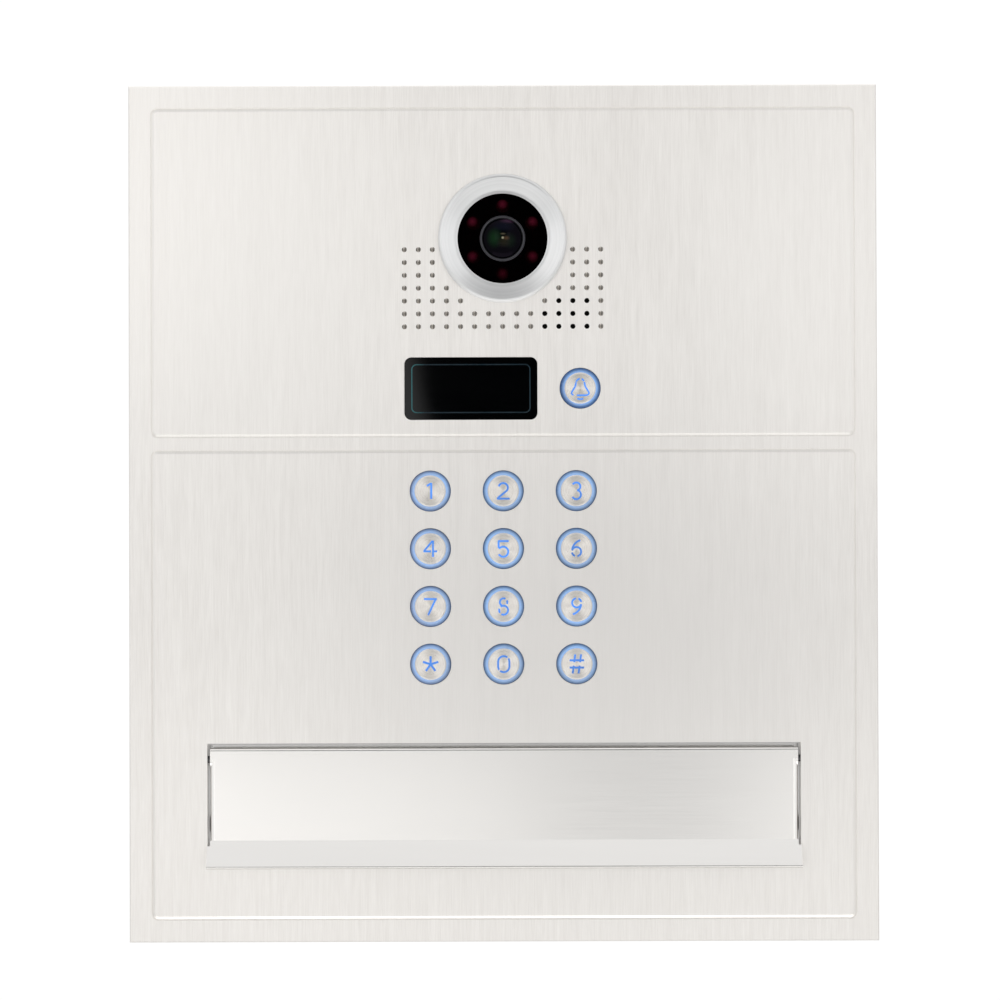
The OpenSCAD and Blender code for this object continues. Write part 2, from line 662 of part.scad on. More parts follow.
faceplate();
perimeter_gasket();
welded_studs();
stud_nuts();
camera_bezel();
camera_cover();
lens_ring();
lens_barrel();
lens_glass();
infrared_leds();
camera_board();
camera_housing();
camera_retaining_nut();
acoustic_mesh();
speaker_frame();
speaker_cone();
microphone();
display_glass();
display_outline();
display_module();
keypad_mat();
keypad_board();
board_standoffs();
main_board();
terminal_block();
electronics_housing();
rear_cover();
cover_screws();
cable_gland();
letter_chute();
hinge_rod();
hinge_clips();
flap_bumpers();
letter_flap();
key_1_cap();
key_1_top();
key_2_cap();
key_2_top();
key_3_cap();
key_3_top();
key_4_cap();
key_4_top();
key_5_cap();
key_5_top();
key_6_cap();
key_6_top();
key_7_cap();
key_7_top();
key_8_cap();
key_8_top();
key_9_cap();
key_9_top();
key_star_cap();
key_star_top();
key_0_cap();
key_0_top();
key_hash_cap();
key_hash_top();
call_button_cap();
call_button_top();
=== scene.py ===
import json
import math
import bpy
import bmesh
from mathutils import Vector, Matrix


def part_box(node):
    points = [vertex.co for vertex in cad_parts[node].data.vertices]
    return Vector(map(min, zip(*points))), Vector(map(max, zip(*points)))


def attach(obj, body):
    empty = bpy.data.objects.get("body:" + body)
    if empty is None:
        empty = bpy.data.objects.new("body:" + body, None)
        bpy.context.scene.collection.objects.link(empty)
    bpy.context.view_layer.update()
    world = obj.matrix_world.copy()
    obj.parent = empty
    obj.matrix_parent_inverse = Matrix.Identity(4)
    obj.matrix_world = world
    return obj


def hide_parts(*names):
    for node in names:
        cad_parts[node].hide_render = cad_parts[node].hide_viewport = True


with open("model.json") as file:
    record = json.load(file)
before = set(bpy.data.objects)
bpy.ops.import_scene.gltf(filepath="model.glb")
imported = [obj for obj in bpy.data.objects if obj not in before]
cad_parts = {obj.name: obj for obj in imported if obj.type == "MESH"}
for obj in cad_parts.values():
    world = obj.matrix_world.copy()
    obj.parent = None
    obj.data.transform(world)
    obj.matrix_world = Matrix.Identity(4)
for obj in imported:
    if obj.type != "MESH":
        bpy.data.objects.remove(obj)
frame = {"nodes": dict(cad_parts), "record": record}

scene = bpy.context.scene
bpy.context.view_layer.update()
REC = frame["record"]
NODE = frame["nodes"]
SLOT_OF = {s["node"]: s["material_slot"] for s in REC["subparts"]}


# ------------------------------------------------------------------ node helpers

class Mat:
    """A material under construction: a Principled shader plus short-hands for the nodes that drive it."""

    def __init__(self, name):
        self.m = bpy.data.materials.new(name)
        self.m.use_nodes = True
        self.t = self.m.node_tree
        self.b = self.t.nodes["Principled BSDF"]
        self.x = -300
        self._obj = None

    def n(self, kind, **props):
        node = self.t.nodes.new(kind)
        self.x -= 40
        node.location = (self.x, 0)
        for k, v in props.items():
            setattr(node, k, v)
        return node

    def link(self, a, b):
        self.t.links.new(a, b)

    def set(self, **vals):
        for k, v in vals.items():
            self.b.inputs[k.replace("_", " ")].default_value = v
        return self

    def obj(self):
        if self._obj is None:
            self._obj = self.n("ShaderNodeTexCoord")
        return self._obj.outputs["Object"]

    def gen(self):
        self.obj()
        return self._obj.outputs["Generated"]

    def stretched(self, scale, detail=3.0, rough=0.55, vec=None, loc=(0, 0, 0)):
        """Noise in metres, with its own scale on each axis."""
        mp = self.n("ShaderNodeMapping")
        mp.inputs["Scale"].default_value = scale
        mp.inputs["Location"].default_value = loc
        self.link(vec or self.obj(), mp.inputs["Vector"])
        nz = self.n("ShaderNodeTexNoise")
        nz.inputs["Scale"].default_value = 1.0
        nz.inputs["Detail"].default_value = detail
        nz.inputs["Roughness"].default_value = rough
        self.link(mp.outputs["Vector"], nz.inputs["Vector"])
        return nz.outputs["Fac"]

    def rng(self, val, a, b, lo=0.25, hi=0.75):
        r = self.n("ShaderNodeMapRange")
        r.inputs["From Min"].default_value = lo
        r.inputs["From Max"].default_value = hi
        r.inputs["To Min"].default_value = a
        r.inputs["To Max"].default_value = b
        self.link(val, r.inputs["Value"])
        return r.outputs["Result"]

    def math(self, op, a, b):
        q = self.n("ShaderNodeMath", operation=op)
        for i, v in enumerate((a, b)):
            if isinstance(v, (int, float)):
                q.inputs[i].default_value = v
            else:
                self.link(v, q.inputs[i])
        return q.outputs[0]

    def mix(self, fac, c1, c2):
        q = self.n("ShaderNodeMix", data_type="RGBA")
        self.link(fac, q.inputs["Factor"])
        for name, v in (("A", c1), ("B", c2)):
            s = [i for i in q.inputs if i.name == name and i.type == "RGBA"][0]
            if isinstance(v, tuple):
                s.default_value = (*v, 1.0)
            else:
                self.link(v, s)
        return [o for o in q.outputs if o.type == "RGBA"][0]

    def bump(self, height, strength, dist, before=None):
        q = self.n("ShaderNodeBump")
        q.inputs["Strength"].default_value = strength
        q.inputs["Distance"].default_value = dist
        self.link(height, q.inputs["Height"])
        if before is not None:
            self.link(before, q.inputs["Normal"])
        self.link(q.outputs["Normal"], self.b.inputs["Normal"])
        return q.outputs["Normal"]

    def cross_tangent(self, axis):
        """Tangent across the grain: the surface normal crossed with the grain's direction."""
        g = self.n("ShaderNodeNewGeometry")
        c = self.n("ShaderNodeVectorMath", operation="CROSS_PRODUCT")
        self.link(g.outputs["True Normal"], c.inputs[0])
        c.inputs[1].default_value = axis
        self.link(c.outputs["Vector"], self.b.inputs["Tangent"])


def brushed(name, light, dark, grain="Z", rough=(0.30, 0.42), aniso=0.75, fine=1900.0, bump=0.10, blotch=0.5, along=75.0):
    """Brushed sheet: long hairlines along one axis, two widths of streak, and faint handling clouds."""
    m = Mat(name)
    lng, wid = 16.0, 520.0
    if grain == "Z":
        s1, s2, t = (fine, fine, along), (wid, wid, lng), (0.04, 0.03, 1.0)
    elif grain == "X":
        s1, s2, t = (along, fine, fine), (lng, wid, wid), (1.0, 0.04, 0.03)
    else:
        s1, s2, t = (fine, along, fine), (wid, lng, wid), (0.04, 1.0, 0.03)
    hair = m.stretched(s1, 4.0, 0.65)
    streak = m.stretched(s2, 3.0, 0.5, loc=(3, 5, 7))
    cloud = m.stretched((9.0, 9.0, 7.0), 3.0, 0.5, loc=(1, 2, 3))
    both = m.math("ADD", m.math("MULTIPLY", hair, 0.72), m.math("MULTIPLY", streak, 0.28))
    m.link(m.mix(m.rng(both, 0.0, 1.0, 0.32, 0.68), dark, light), m.b.inputs["Base Color"])
    r = m.rng(both, rough[0], rough[1], 0.3, 0.7)
    r = m.math("ADD", r, m.rng(cloud, -0.03 * blotch, 0.05 * blotch))
    m.link(r, m.b.inputs["Roughness"])
    m.set(Metallic=1.0, Anisotropic=aniso)
    m.cross_tangent(t)
    m.bump(hair, bump, 0.00004)
    return m


def face_light_and_shade(m):
    """Painted light and shade on the face plate: a darker lower middle, lighter upper corners, and painted shade inside
    the drilled dimples.
    """
    base = m.b.inputs["Base Color"].links[0].from_socket
    sep = m.n("ShaderNodeSeparateXYZ")
    m.link(m.obj(), sep.inputs[0])
    X, Y, Z = sep.outputs

    def bell(cx, cz, rx, rz):
        dx = m.math("DIVIDE", m.math("SUBTRACT", X, cx), rx)
        dz = m.math("DIVIDE", m.math("SUBTRACT", Z, cz), rz)
        d = m.math("SQRT", m.math("ADD", m.math("MULTIPLY", dx, dx), m.math("MULTIPLY", dz, dz)), 0.0)
        r = m.n("ShaderNodeMapRange", interpolation_type="SMOOTHERSTEP")
        r.inputs["To Min"].default_value = 1.0
        r.inputs["To Max"].default_value = 0.0
        m.link(d, r.inputs["Value"])
        return r.outputs["Result"]

    # painted shade over the lower middle of the plate, and painted light towards the upper left and upper right
    c1 = m.mix(m.math("MULTIPLY", bell(0.035, -0.060, 0.19, 0.16), 0.75), base, (0.78, 0.762, 0.742))
    c2 = m.mix(m.math("MULTIPLY", bell(-0.13, 0.12, 0.16, 0.17), 0.45), c1, (0.985, 0.965, 0.935))
    c3 = m.mix(m.math("MULTIPLY", bell(0.13, 0.10, 0.11, 0.15), 0.35), c2, (0.985, 0.965, 0.935))
    # painted shade in the speaker field's drilled dimples: a darker base colour inside each recess, mottled by noise,
    # with darker painted flanks left and right in each 6 mm cell
    inside = m.math("MULTIPLY", m.math("LESS_THAN", m.math("ABSOLUTE", X, 0.0), 0.047),
                    m.math("MULTIPLY", m.math("GREATER_THAN", Z, 0.0775), m.math("LESS_THAN", Z, 0.117)))
    deep = m.math("MULTIPLY", inside, m.rng(Y, 0.0, 1.0, -0.00295, -0.0027))
    cell = m.math("SUBTRACT", m.math("FRACT", m.math("ADD", m.math("DIVIDE", X, 0.0060), 8.5), 0.0), 0.5)
    left = m.rng(m.math("ABSOLUTE", m.math("ADD", cell, 0.135), 0.0), 1.0, 0.0, 0.020, 0.060)
    right = m.rng(m.math("ABSOLUTE", m.math("SUBTRACT", cell, 0.085), 0.0), 1.0, 0.0, 0.030, 0.085)
    flank_shade_mask = m.math("MAXIMUM", left, m.math("MULTIPLY", right, 0.8))
    # noise that mottles the painted shade inside the recesses
    recess_shade_noise = m.stretched((800.0,) * 3, 2.0, loc=(7, 7, 7))
    pale = m.mix(m.rng(recess_shade_noise, 0.0, 1.0), (0.62, 0.59, 0.55), (0.78, 0.75, 0.71))
    dimple_shade = m.mix(m.math("MULTIPLY", flank_shade_mask, 0.85), pale, (0.12, 0.11, 0.10))
    m.link(m.mix(deep, c3, dimple_shade), m.b.inputs["Base Color"])
    return m


def spun(name, light, dark, rough=(0.24, 0.36), aniso=0.8, rings=55.0, bump=0.15):
    """Face-turned metal: fine concentric lines round the Y axis of the piece's own box."""
    m = Mat(name)
    c = m.n("ShaderNodeVectorMath", operation="SUBTRACT")
    c.inputs[1].default_value = (0.5, 0.5, 0.5)
    m.link(m.gen(), c.inputs[0])
    f = m.n("ShaderNodeVectorMath", operation="MULTIPLY")
    f.inputs[1].default_value = (1.0, 0.0, 1.0)
    m.link(c.outputs["Vector"], f.inputs[0])
    l = m.n("ShaderNodeVectorMath", operation="LENGTH")
    m.link(f.outputs["Vector"], l.inputs[0])
    nz = m.n("ShaderNodeTexNoise", noise_dimensions="1D")
    nz.inputs["Scale"].default_value = rings
    nz.inputs["Detail"].default_value = 4.0
    nz.inputs["Roughness"].default_value = 0.7
    m.link(l.outputs["Value"], nz.inputs["W"])
    cloud = m.stretched((160.0, 160.0, 160.0), 3.0)
    m.link(m.mix(m.rng(nz.outputs["Fac"], 0, 1, 0.3, 0.7), dark, light), m.b.inputs["Base Color"])
    r = m.rng(nz.outputs["Fac"], rough[0], rough[1], 0.3, 0.7)
    m.link(m.math("ADD", r, m.rng(cloud, -0.02, 0.03)), m.b.inputs["Roughness"])
    m.set(Metallic=1.0, Anisotropic=aniso, Anisotropic_Rotation=0.25)
    tg = m.n("ShaderNodeTangent", direction_type="RADIAL", axis="Y")
    m.link(tg.outputs["Tangent"], m.b.inputs["Tangent"])
    m.bump(nz.outputs["Fac"], bump, 0.00004)
    return m


def moulded(name, base, dark, rough=(0.42, 0.6), grain=1400.0, bump=0.25, spec=0.5):
    """Moulded plastic or rubber: fine spark-eroded texture, soft cloudy wear."""
    m = Mat(name)
    g = m.stretched((grain,) * 3, 2.0)
    cloud = m.stretched((28.0,) * 3, 4.0, loc=(2, 9, 4))
    m.link(m.mix(m.rng(cloud, 0, 1), dark, base), m.b.inputs["Base Color"])
    m.link(m.math("ADD", m.rng(cloud, rough[0], rough[1]), m.rng(g, -0.03, 0.03)), m.b.inputs["Roughness"])
    m.b.inputs["Specular IOR Level"].default_value = spec
    m.bump(g, bump, 0.00008)
    return m


def bare(name, light, dark, rough=(0.3, 0.45), scale=900.0, bump=0.08, aniso=0.0):
    """Plain machined or rolled metal with fine mottling."""
    m = Mat(name)
    g = m.stretched((scale,) * 3, 3.0)
    cloud = m.stretched((45.0,) * 3, 3.0, loc=(5, 1, 8))
    m.link(m.mix(m.rng(cloud, 0, 1), dark, light), m.b.inputs["Base Color"])
    m.link(m.math("ADD", m.rng(cloud, rough[0], rough[1]), m.rng(g, -0.03, 0.04)), m.b.inputs["Roughness"])
    m.set(Metallic=1.0, Anisotropic=aniso)
    m.bump(g, bump, 0.00005)
    return m


def lit_plastic(name, centre, ring, rim_shade, glow_c, glow_r, radius):
    """Milky polycarbonate lit from below: brightest under the legend, fading towards the rim, where the base colour
    darkens as painted shade on the outer chamfer.

    radius is the piece's half width; the bands follow the distance from its own middle.
    """
    m = Mat(name)
    c = m.n("ShaderNodeVectorMath", operation="SUBTRACT")
    c.inputs[1].default_value = (0.5, 0.5, 0.5)
    m.link(m.gen(), c.inputs[0])
    f = m.n("ShaderNodeVectorMath", operation="MULTIPLY")
    f.inputs[1].default_value = (2 * radius, 0.0, 2 * radius)
    m.link(c.outputs["Vector"], f.inputs[0])
    l = m.n("ShaderNodeVectorMath", operation="LENGTH")
    m.link(f.outputs["Vector"], l.inputs[0])
    cloud = m.stretched((420.0,) * 3, 2.0, loc=(4, 4, 1))
    lamp = m.stretched((62.0, 62.0, 62.0), 1.0, loc=(9, 2, 6))
    inner = m.rng(l.outputs["Value"], 0.0, 1.0, 0.0060, 0.0066)
    outer = m.rng(l.outputs["Value"], 0.0, 1.0, 0.0072, 0.0082)
    # the call button's light is the deepest, the first column's the palest
    sep = m.n("ShaderNodeSeparateXYZ")
    m.link(m.obj(), sep.inputs[0])
    call = m.math("MULTIPLY", m.math("GREATER_THAN", sep.outputs["Z"], 0.035), 0.85)
    pale = m.rng(sep.outputs["X"], 0.45, 0.0, -0.040, -0.012)
    outer = m.math("ADD", m.math("MULTIPLY", outer, m.math("SUBTRACT", 1.0, call)),
                   m.math("MULTIPLY", m.rng(l.outputs["Value"], 0.0, 1.0, 0.0068, 0.0080), call))
    ring_c = m.mix(call, m.mix(pale, ring, (0.40, 0.46, 0.60)), (0.30, 0.44, 0.72))
    # painted shade on the key's outer chamfer, darkest on the call button
    rim_shade_c = m.mix(call, m.mix(pale, rim_shade, (0.20, 0.22, 0.36)), (0.02, 0.07, 0.22))
    m.link(m.mix(outer, m.mix(inner, centre, ring_c), rim_shade_c), m.b.inputs["Base Color"])
    m.link(m.rng(cloud, 0.24, 0.36), m.b.inputs["Roughness"])
    glow = m.mix(outer, m.mix(inner, glow_c, glow_r), tuple(0.25 * v for v in glow_r))
    m.link(glow, m.b.inputs["Emission Color"])
    m.link(m.rng(lamp, 0.55, 1.6, 0.35, 0.65), m.b.inputs["Emission Strength"])
    m.set(IOR=1.58)
    m.bump(cloud, 0.05, 0.00005)
    return m


def dim_line(name):
    """The display's edge-lit outline: a dim teal glow, brightened at the left end by painted reflection, almost out at
    the right.
    """
    m = Mat(name)
    sep = m.n("ShaderNodeSeparateXYZ")
    m.link(m.gen(), sep.inputs[0])
    # painted reflection over the left end of the outline, raising both base colour and glow
    left_reflection = m.rng(sep.outputs["X"], 1.0, 0.0, 0.0, 0.12)
    far = m.rng(sep.outputs["X"], 0.0, 1.0, 0.97, 1.0)
    grain = m.stretched((500.0,) * 3, 2.0)
    col = m.mix(left_reflection, (0.003, 0.011, 0.016), (0.018, 0.070, 0.075))
    m.link(m.mix(far, col, (0.008, 0.022, 0.030)), m.b.inputs["Base Color"])
    m.link(m.mix(left_reflection, (0.0006, 0.0042, 0.0072), (0.012, 0.048, 0.052)), m.b.inputs["Emission Color"])
    m.link(m.rng(grain, 0.8, 1.2), m.b.inputs["Emission Strength"])
    m.link(m.rng(grain, 0.10, 0.2), m.b.inputs["Roughness"])
    return m


def gloss(name, base, edge, rough=(0.03, 0.09), coat=1.0, trans=0.0, ior=1.5, ripple=0.01):
    """Polished glass or acrylic with the faint smears of handling."""
    m = Mat(name)
    smear = m.stretched((35.0, 35.0, 90.0), 4.0, loc=(1, 6, 2))
    fine = m.stretched((900.0,) * 3, 2.0)
    m.link(m.mix(m.rng(smear, 0, 1), base, edge), m.b.inputs["Base Color"])
    m.link(m.rng(smear, rough[0], rough[1]), m.b.inputs["Roughness"])
    m.set(IOR=ior)
    m.b.inputs["Coat Weight"].default_value = coat
    m.b.inputs["Transmission Weight"].default_value = trans
    if ripple:
        m.bump(fine, ripple, 0.00002)
    return m


def board(name, mask=(0.012, 0.11, 0.045), trace=(0.02, 0.17, 0.07), pad=(0.62, 0.58, 0.42)):
    """Solder mask with traces and pads."""
    m = Mat(name)
    v = m.n("ShaderNodeTexVoronoi", distance="CHEBYCHEV")
    v.inputs["Scale"].default_value = 260.0
    m.link(m.obj(), v.inputs["Vector"])
    pads = m.rng(v.outputs["Distance"], 0.0, 1.0, 0.16, 0.20)
    tr = m.stretched((900.0, 60.0, 60.0), 0.0, loc=(2, 2, 2))
    lines = m.rng(tr, 0.0, 1.0, 0.47, 0.50)
    col = m.mix(lines, mask, trace)
    m.link(m.mix(pads, pad, col), m.b.inputs["Base Color"])
    m.link(m.rng(pads, 0.3, 0.38, 0, 1), m.b.inputs["Roughness"])
    m.bump(lines, 0.2, 0.00005)
    return m


M = {}
M["brushed_steel_vertical"] = brushed("brushed_steel_vertical", (0.965, 0.942, 0.912), (0.865, 0.838, 0.806), "Z", (0.32, 0.40), 0.6)
face_light_and_shade(M["brushed_steel_vertical"])
M["brushed_steel_horizontal"] = brushed("brushed_steel_horizontal", (0.985, 0.968, 0.945), (0.965, 0.947, 0.922), "X", (0.18, 0.24), 0.08, 2600.0, 0.02, 0.4, 20.0)
M["spun_steel"] = spun("spun_steel", (0.95, 0.925, 0.895), (0.80, 0.755, 0.70), (0.24, 0.34), 0.97)
M["chute_steel"] = bare("chute_steel", (0.68, 0.67, 0.66), (0.54, 0.54, 0.54), (0.36, 0.52))
M["rod_steel"] = brushed("rod_steel", (0.13, 0.13, 0.135), (0.08, 0.08, 0.085), "X", (0.26, 0.38), 0.2)
M["lip_steel"] = brushed("lip_steel", (0.93, 0.92, 0.90), (0.87, 0.86, 0.84), "X", (0.10, 0.16), 0.1, 2600.0, 0.02, 0.4, 20.0)
M["spring_steel"] = bare("spring_steel", (0.22, 0.22, 0.24), (0.14, 0.14, 0.16), (0.3, 0.5))
M["stainless_fastener"] = bare("stainless_fastener", (0.74, 0.74, 0.74), (0.60, 0.60, 0.61), (0.24, 0.38))
M["speaker_steel"] = bare("speaker_steel", (0.34, 0.35, 0.37), (0.24, 0.25, 0.27), (0.35, 0.5))
M["satin_aluminium"] = spun("satin_aluminium", (0.84, 0.845, 0.85), (0.78, 0.785, 0.79), (0.34, 0.42), 0.72, 40.0, 0.06)
M["dark_aluminium"] = spun("dark_aluminium", (0.11, 0.11, 0.12), (0.07, 0.07, 0.08), (0.28, 0.38), 0.4, 30.0, 0.06)
M["brass_standoff"] = bare("brass_standoff", (0.80, 0.64, 0.34), (0.62, 0.48, 0.24), (0.28, 0.42))
M["tinted_window"] = gloss("tinted_window", (0.13, 0.06, 0.085), (0.11, 0.05, 0.07), (0.02, 0.04), 0.0, 1.0, 1.45)
M["black_glass"] = gloss("black_glass", (0.0006, 0.0008, 0.001), (0.001, 0.0012, 0.0015), (0.02, 0.035), 0.0, 0.0, 1.60)
M["infrared_epoxy"] = gloss("infrared_epoxy", (0.10, 0.01, 0.02), (0.16, 0.02, 0.03), (0.10, 0.18), 0.0)


def led_glow(m, cz, ring, count, r_on):
    """A soft glow at each diode of a ring round the Y axis through height cz."""
    sep = m.n("ShaderNodeSeparateXYZ")
    m.link(m.obj(), sep.inputs[0])
    z = m.math("SUBTRACT", sep.outputs["Z"], cz)
    x = sep.outputs["X"]
    r = m.math("SQRT", m.math("ADD", m.math("MULTIPLY", x, x), m.math("MULTIPLY", z, z)), 0.0)
    turn = m.math("MULTIPLY", m.math("ARCTAN2", z, x), count / (2 * math.pi))
    off = m.math("SUBTRACT", m.math("FRACT", m.math("ADD", turn, 8.0), 0.0), 0.5)
    arc = m.math("MULTIPLY", off, ring * 2 * math.pi / count)
    dr = m.math("SUBTRACT", r, ring)
    d = m.math("SQRT", m.math("ADD", m.math("MULTIPLY", arc, arc), m.math("MULTIPLY", dr, dr)), 0.0)
    m.link(m.mix(m.rng(d, 0.0, 1.0, 0.0, r_on), (0.50, 0.085, 0.16), (0.02, 0.003, 0.006)), m.b.inputs["Emission Color"])
    m.link(m.rng(z, 0.42, 0.95, -ring, -0.2 * ring), m.b.inputs["Emission Strength"])


LED_LO, LED_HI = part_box("infrared_leds")
led_glow(M["infrared_epoxy"], (LED_LO[2] + LED_HI[2]) / 2, (LED_HI[2] - LED_LO[2]) / 2 - 0.0025, 6, 0.0024)
M["circuit_board"] = board("circuit_board")
M["terminal_green"] = moulded("terminal_green", (0.10, 0.42, 0.18), (0.07, 0.34, 0.14))
M["black_plastic"] = moulded("black_plastic", (0.03, 0.03, 0.033), (0.018, 0.018, 0.02))
M["housing_plastic"] = moulded("housing_plastic", (0.070, 0.070, 0.074), (0.045, 0.045, 0.048))
M["gland_plastic"] = moulded("gland_plastic", (0.055, 0.055, 0.058), (0.035, 0.035, 0.037), (0.34, 0.5))
M["black_rubber"] = moulded("black_rubber", (0.03, 0.03, 0.03), (0.02, 0.02, 0.02), (0.6, 0.8))
M["black_foam"] = moulded("black_foam", (0.045, 0.045, 0.045), (0.02, 0.02, 0.02), (0.8, 0.95), 700.0, 0.8, 0.3)
M["silicone_mat"] = moulded("silicone_mat", (0.66, 0.67, 0.69), (0.56, 0.57, 0.59), (0.45, 0.6))
M["black_mesh"] = moulded("black_mesh", (0.012, 0.012, 0.012), (0.004, 0.004, 0.004), (0.8, 0.95), 2600.0, 1.0, 0.2)
M["paper_cone"] = moulded("paper_cone", (0.05, 0.05, 0.05), (0.03, 0.03, 0.03), (0.6, 0.8))
M["lit_key_plastic"] = lit_plastic("lit_key_plastic", (0.06, 0.17, 0.48), (0.34, 0.46, 0.66), (0.11, 0.18, 0.32),
                                   (0.02, 0.11, 0.38), (0.02, 0.09, 0.22), 0.0100)
M["teal_light"] = dim_line("teal_light")

def edge_shade(m, z_edge):
    """Painted shade along the lip's lower edge: the base colour darkens over the bottom millimetre."""
    base = m.b.inputs["Base Color"].links[0].from_socket
    sep = m.n("ShaderNodeSeparateXYZ")
    m.link(m.obj(), sep.inputs[0])
    low = m.rng(sep.outputs["Z"], 0.9, 0.0, z_edge, z_edge + 0.0010)
    m.link(m.mix(low, base, (0.42, 0.41, 0.39)), m.b.inputs["Base Color"])


edge_shade(M["brushed_steel_horizontal"], min(v[2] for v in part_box("letter_flap")))


pale_silicone = moulded("pale_silicone", (0.62, 0.62, 0.61), (0.54, 0.54, 0.53), (0.45, 0.6))
black_board = board("black_board", (0.010, 0.010, 0.011), (0.016, 0.016, 0.017), (0.05, 0.045, 0.04))


def painted_reflection_dome(name, cz):
    """Coated fisheye element over a black barrel, its reflections painted as emission: green to one side, violet near
    the top edge, a warm glint at the middle.
    """
    m = Mat(name)
    sep = m.n("ShaderNodeSeparateXYZ")
    m.link(m.obj(), sep.inputs[0])
    x = sep.outputs["X"]
    z = m.math("SUBTRACT", sep.outputs["Z"], cz)

    def reflection_spot(px, pz, rx, rz):
        dx = m.math("DIVIDE", m.math("SUBTRACT", x, px), rx)
        dz = m.math("DIVIDE", m.math("SUBTRACT", z, pz), rz)
        d = m.math("SQRT", m.math("ADD", m.math("MULTIPLY", dx, dx), m.math("MULTIPLY", dz, dz)), 0.0)
        r = m.n("ShaderNodeMapRange", interpolation_type="SMOOTHSTEP")
        r.inputs["To Min"].default_value = 1.0
        r.inputs["To Max"].default_value = 0.0
        m.link(d, r.inputs["Value"])
        return r.outputs["Result"]

    # painted reflections and glints on a near-black dome, drawn as emission spots
    c = m.mix(reflection_spot(0.0022, 0.0074, 0.0044, 0.0015), (0.0004, 0.0006, 0.0008), (0.034, 0.014, 0.030))
    c = m.mix(reflection_spot(0.0004, 0.0050, 0.0062, 0.0034), c, (0.0024, 0.0036, 0.0080))
    c = m.mix(reflection_spot(-0.0034, 0.0002, 0.0042, 0.0054), c, (0.0030, 0.0200, 0.0045))
    c = m.mix(reflection_spot(0.0032, -0.0010, 0.0036, 0.0044), c, (0.0030, 0.0085, 0.0035))
    c = m.mix(reflection_spot(0.0006, -0.0016, 0.0036, 0.0030), c, (0.0110, 0.0110, 0.0050))
    c = m.mix(reflection_spot(0.0016, 0.0000, 0.0019, 0.0013), c, (0.0560, 0.0330, 0.0160))
    c = m.mix(reflection_spot(0.0002, 0.0018, 0.0017, 0.0006), c, (0.0700, 0.0620, 0.0400))
    c = m.mix(reflection_spot(0.0001, 0.0001, 0.0008, 0.0008), c, (0.3400, 0.3150, 0.2200))
    m.link(c, m.b.inputs["Emission Color"])
    m.b.inputs["Emission Strength"].default_value = 1.0
    haze = m.stretched((260.0,) * 3, 2.0)
    m.link(m.mix(m.rng(haze, 0, 1), (0.0005, 0.0005, 0.0007), (0.0011, 0.0012, 0.0013)), m.b.inputs["Base Color"])
    m.link(m.rng(haze, 0.02, 0.04), m.b.inputs["Roughness"])
    m.b.inputs["Specular IOR Level"].default_value = 0.05
    m.b.inputs["Specular Tint"].default_value = (0.75, 0.55, 0.95, 1.0)
    return m


LENS_LO, LENS_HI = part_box("lens_glass")
M["lens_glass"] = painted_reflection_dome("lens_glass", (LENS_LO[2] + LENS_HI[2]) / 2)


# ------------------------------------------------------------------ pieces made here

def piece(name, bm, mat, body="panel", smooth=35.0, stands_for=()):
    bmesh.ops.recalc_face_normals(bm, faces=bm.faces[:])
    me = bpy.data.meshes.new(name)
    bm.to_mesh(me)
    bm.free()
    ob = bpy.data.objects.new(name, me)
    scene.collection.objects.link(ob)
    me.materials.append(mat.m)
    for f in me.polygons:
        f.use_smooth = True
    if smooth:
        me.set_sharp_from_angle(angle=math.radians(smooth))
    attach(ob, body)
    if stands_for:
        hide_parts(*stands_for)
    return ob


# the chute's turned-down front lip, behind the flap's fold
bm = bmesh.new()
CH_LO, CH_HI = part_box("letter_chute")
x1 = CH_HI[0] - 0.0014
y0 = CH_LO[1] + 0.0080
z1 = CH_HI[2] - 0.0101
sec = [(y0, z1), (y0 - 0.00006, z1 - 0.0025), (y0 + 0.0003, z1 - 0.0029), (y0 + 0.00068, z1 - 0.0025), (y0 + 0.0008, z1)]
ends = [[bm.verts.new((x, y, z)) for y, z in sec] for x in (-x1, x1)]
for i in range(5):
    j = (i + 1) % 5
    bm.faces.new((ends[0][i], ends[0][j], ends[1][j], ends[1][i]))
bm.faces.new(ends[0])
bm.faces.new(ends[1][::-1])
piece("chute_front_lip", bm, M["lip_steel"])

for name, ob in NODE.items():
    mat = {"camera_board": black_board, "flap_bumpers": pale_silicone}.get(name, M[SLOT_OF[name]]).m
    if not ob.material_slots:
        ob.data.materials.append(mat)
    for s in ob.material_slots:
        s.material = mat


# ------------------------------------------------------------------ studio

WING = (0.60, 0.92)
DARK = (0.56, 0.56)
SIDE = 0.74

def area(name, loc, target, size, power, col=(1, 1, 1)):
    d = bpy.data.lights.new(name, "AREA")
    d.shape = "RECTANGLE"
    d.size, d.size_y = size
    d.energy = power
    d.color = col
    o = bpy.data.objects.new(name, d)
    scene.collection.objects.link(o)
    o.location = loc
    o.visible_camera = False
    o.rotation_euler = (Vector(target) - Vector(loc)).to_track_quat("-Z", "Y").to_euler()
    return o


w = bpy.data.worlds.new("studio")
scene.world = w
w.use_nodes = True
wt = w.node_tree
bg = wt.nodes["Background"]


def wn(kind, **props):
    node = wt.nodes.new(kind)
    for k, v in props.items():
        setattr(node, k, v)
    return node


def wmath(op, a, b=0.0):
    q = wn("ShaderNodeMath", operation=op)
    for i, v in enumerate((a, b)):
        if isinstance(v, (int, float)):
            q.inputs[i].default_value = v
        else:
            wt.links.new(v, q.inputs[i])
    return q.outputs[0]


def wramp(val, lo, hi, a, b):
    q = wn("ShaderNodeMapRange", interpolation_type="SMOOTHSTEP")
    for n, v in (("From Min", lo), ("From Max", hi), ("To Min", a), ("To Max", b)):
        q.inputs[n].default_value = v
    wt.links.new(val, q.inputs["Value"])
    return q.outputs["Result"]


